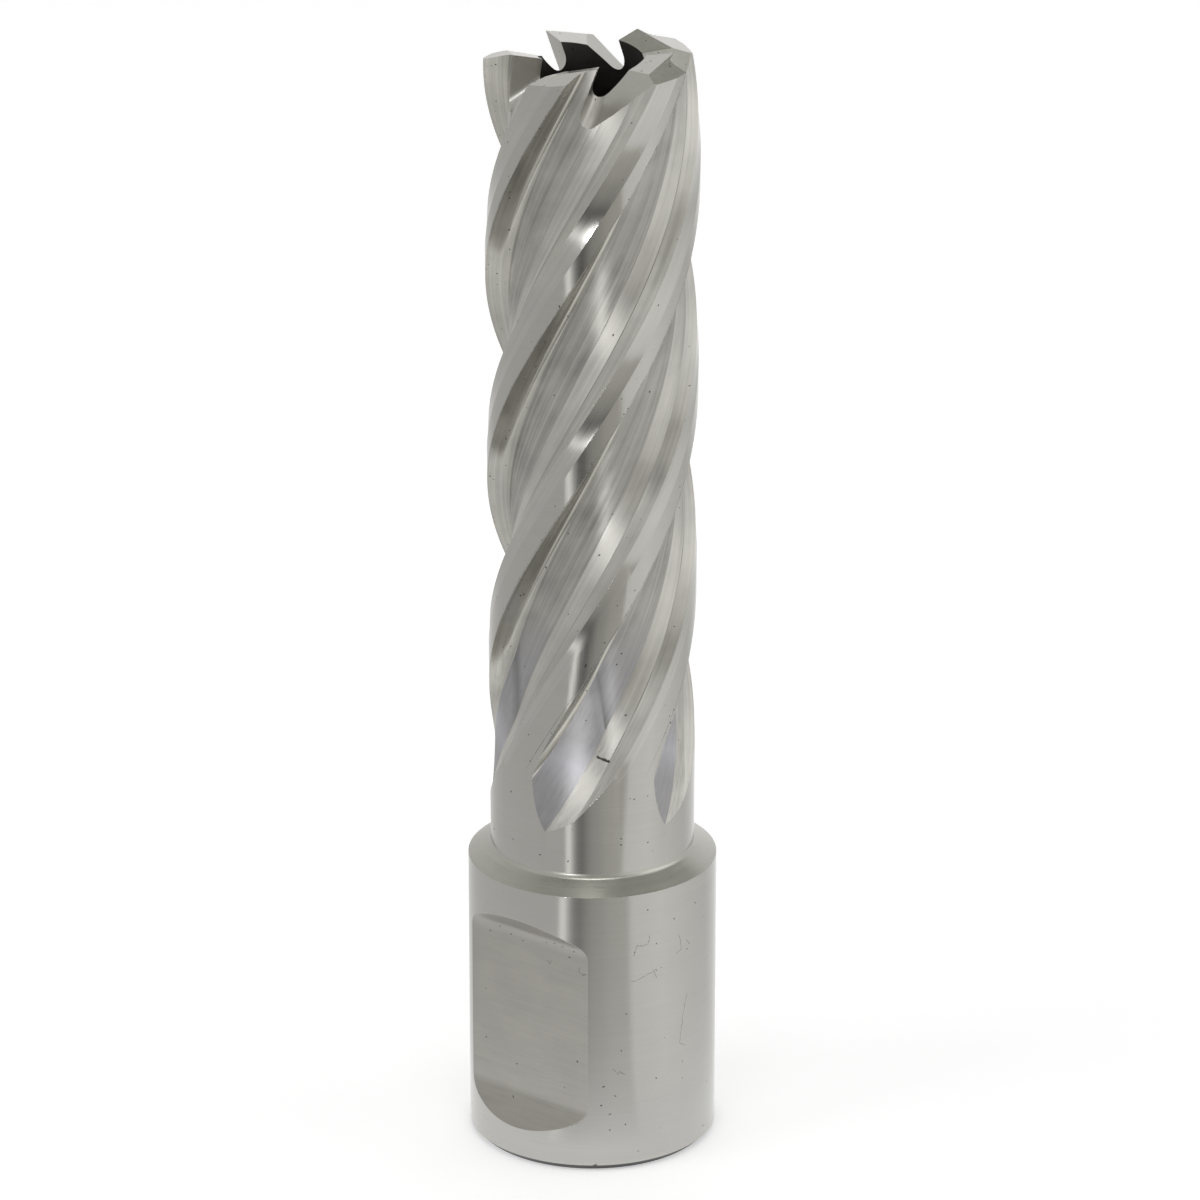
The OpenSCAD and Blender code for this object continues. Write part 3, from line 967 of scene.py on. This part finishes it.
# %% Card helpers
WARM = (1.0, 0.975, 0.91)
PLAIN = (1.0, 0.995, 0.97)


def fill_ramp(ramp, stops):
    """Sets the stops (position, colour) of a colour ramp."""
    for i, (at, colour) in enumerate(stops):
        stop = ramp.elements[0] if i == 0 else ramp.elements.new(at)
        stop.position = at
        stop.color = (*colour, 1)
    ramp.elements.remove(ramp.elements[-1])


def glow_card(name, points, faces):
    """A card that only reflections see; its colour is set by the caller."""
    mesh = bpy.data.meshes.new(name)
    mesh.from_pydata(points, [], faces)
    card = bpy.data.objects.new(name, mesh)
    bpy.context.scene.collection.objects.link(card)
    paint = bpy.data.materials.new(name)
    paint.use_nodes = True
    shader = paint.node_tree.nodes["Principled BSDF"]
    shader.inputs["Base Color"].default_value = (0, 0, 0, 1)
    shader.inputs["Specular IOR Level"].default_value = 0
    shader.inputs["Emission Strength"].default_value = 1.0
    mesh.materials.append(paint)
    card.visible_camera = False
    card.visible_diffuse = False
    card.visible_shadow = False
    card.visible_transmission = False
    return paint.node_tree, shader


def ring(profile, steps):
    """A band of faces round the axis through the points (radius, height) of a profile."""
    n = len(profile)
    points = []
    for i in range(steps):
        a = 2 * math.pi * i / steps
        points += [(r * math.sin(a), -r * math.cos(a), z) for r, z in profile]
    faces = []
    for i in range(steps):
        here, there = i * n, (i + 1) % steps * n
        faces += [(here + k, here + k + 1, there + k + 1, there + k) for k in range(n - 1)]
    return points, faces


print("card helpers ready")

# %% [markdown]
# ### The ring of cards
# The ring lies on the floor and rises far out as a wall, with a grey level for each bearing. Upright
# steel mirrors the bearing at twice its own, so the narrow bright part at the left front becomes the
# thin bright line on the neck and the shank, and the dark part beside it the dark band.

# %% Cards round the tool
CARD_NEAR, CARD_FAR, CARD_HEIGHT, CARD_STEPS = 10.5 * MM, 2.5, 0.2 * MM, 96
WALL_TOP = 1.8
SURROUND = [
    (-180, 0.78, PLAIN), (-130, 0.60, PLAIN), (-50, 0.57, PLAIN), (-29.5, 0.56, PLAIN),
    (-27, 1.15, PLAIN), (-24, 1.2, PLAIN), (-21.5, 0.75, PLAIN), (-18, 0.34, PLAIN),
    (-14.5, 0.17, PLAIN), (-10, 0.14, PLAIN), (-6, 0.26, WARM), (0, 0.37, WARM), (8, 0.42, WARM),
    (14, 0.49, WARM), (29, 0.55, WARM), (34, 0.86, PLAIN), (60, 0.94, PLAIN), (85, 0.84, PLAIN),
    (120, 0.68, PLAIN), (180, 0.78, PLAIN),
]
NEAR_LEVEL, FADE_FULL, FADE_REACH = 0.93, 1.05, 14 * MM
surround_profile = [(CARD_NEAR, CARD_HEIGHT), (CARD_FAR, CARD_HEIGHT), (CARD_FAR, WALL_TOP)]
card_tree, card_shader = glow_card("surround_card", *ring(surround_profile, CARD_STEPS))
card_place = card_tree.nodes.new("ShaderNodeTexCoord").outputs["Object"]
card_xyz = add(card_tree, "ShaderNodeSeparateXYZ", i0=card_place).outputs
card_bearing = maths(card_tree, "ARCTAN2", card_xyz[0], maths(card_tree, "MULTIPLY", card_xyz[1], -1.0))
round_turn = ranged(card_tree, card_bearing, -math.pi, math.pi, 0.0, 1.0)
levels = add(card_tree, "ShaderNodeValToRGB", i0=round_turn)
fill_ramp(
    levels.color_ramp,
    [((degrees + 180) / 360, [level_here * c for c in tint]) for degrees, level_here, tint in SURROUND],
)
reach_out = vectors(card_tree, "LENGTH", card_place).outputs["Value"]
fade = maths(card_tree, "SUBTRACT", FADE_FULL, maths(card_tree, "DIVIDE", FADE_REACH, reach_out))
fade.node.use_clamp = True
card_colour = mixed(card_tree, fade, (NEAR_LEVEL,) * 3, levels.outputs[0])
card_tree.links.new(card_colour, card_shader.inputs["Emission Color"])
print("surround levels:", len(SURROUND))

# %% [markdown]
# ### Ceiling card
# The shoulder and the roofs of the teeth look upwards, so they mirror a card overhead. It is grey,
# and lighter at the far left.

# %% Ceiling card
CEILING, CEILING_LEFT, CEILING_BLEND = (0.37, 0.37, 0.34), (0.60, 0.60, 0.57), (-0.5, -1.2)
CEILING_HOLE, CEILING_STEPS = 1 * MM, 48
ceiling_profile = [(CEILING_HOLE, WALL_TOP), (CARD_FAR, WALL_TOP)]
ceiling_tree, ceiling_shader = glow_card("ceiling_card", *ring(ceiling_profile, CEILING_STEPS))
overhead = ceiling_tree.nodes.new("ShaderNodeTexCoord").outputs["Object"]
across = add(ceiling_tree, "ShaderNodeSeparateXYZ", i0=overhead).outputs[0]
to_left = ranged(ceiling_tree, across, *CEILING_BLEND, 0.0, 1.0)
ceiling_colour = mixed(ceiling_tree, to_left, CEILING, CEILING_LEFT)
ceiling_tree.links.new(ceiling_colour, ceiling_shader.inputs["Emission Color"])
print("ceiling card at", WALL_TOP, "m")

# %% [markdown]
# ### Lamps
# Two soft lamps stay out of reflections, so they light the floor and leave the metal as it is. The
# other three show on the metal: a large one at the right, one high in front, and a small low one at
# the left front.

# %% Soft lamps
AIM = Vector((0, 0, 0.045))


def soft_lamp(name, place, size, power, in_reflections):
    data = bpy.data.lights.new(name, "AREA")
    data.shape = "RECTANGLE"
    data.size, data.size_y = size
    data.energy = power
    lamp = bpy.data.objects.new(name, data)
    lamp.location = place
    lamp.rotation_euler = (AIM - Vector(place)).to_track_quat("-Z", "Y").to_euler()
    lamp.visible_glossy = in_reflections
    bpy.context.scene.collection.objects.link(lamp)


LAMPS = [
    ("left_softbox", (-0.9, -0.35, 0.5), (0.6, 0.6), 2.4, False),
    ("top_softbox", (0.0, 0.4, 1.1), (0.7, 0.7), 1.6, False),
    ("right_softbox", (1.1, -0.1, 0.95), (1.0, 1.0), 2.2, True),
    ("high_softbox", (0.0, -0.42, 1.1), (0.6, 0.3), 1.6, True),
    ("low_softbox", (-0.66, -1.46, 0.07), (0.2, 0.12), 2.2, True),
]
for lamp in LAMPS:
    soft_lamp(*lamp)
print("lamps:", len(LAMPS))

# %% [markdown]
# ## Camera
# A long lens looks down on the standing tool. The place, the tilt and the focal length were found
# by matching the outline of the turned steps.

# %% Camera
SENSOR_MM, LENS_MM, SIDE_SHIFT = 36, 176.0, 0.00636
CAMERA_PLACE, CAMERA_TILT = (0, -0.415376, 0.199301), math.radians(69.409)
camera_data = bpy.data.cameras.new("camera")
camera_data.sensor_width, camera_data.lens = SENSOR_MM, LENS_MM
camera_data.shift_x = SIDE_SHIFT
camera_data.clip_start, camera_data.clip_end = 0.01, 20
camera = bpy.data.objects.new("camera", camera_data)
camera.location = CAMERA_PLACE
camera.rotation_euler = (CAMERA_TILT, 0, 0)
bpy.context.scene.collection.objects.link(camera)
bpy.context.scene.camera = camera
bpy.context.scene.view_settings.view_transform = "Standard"
print("camera at", tuple(round(c, 3) for c in camera.location))
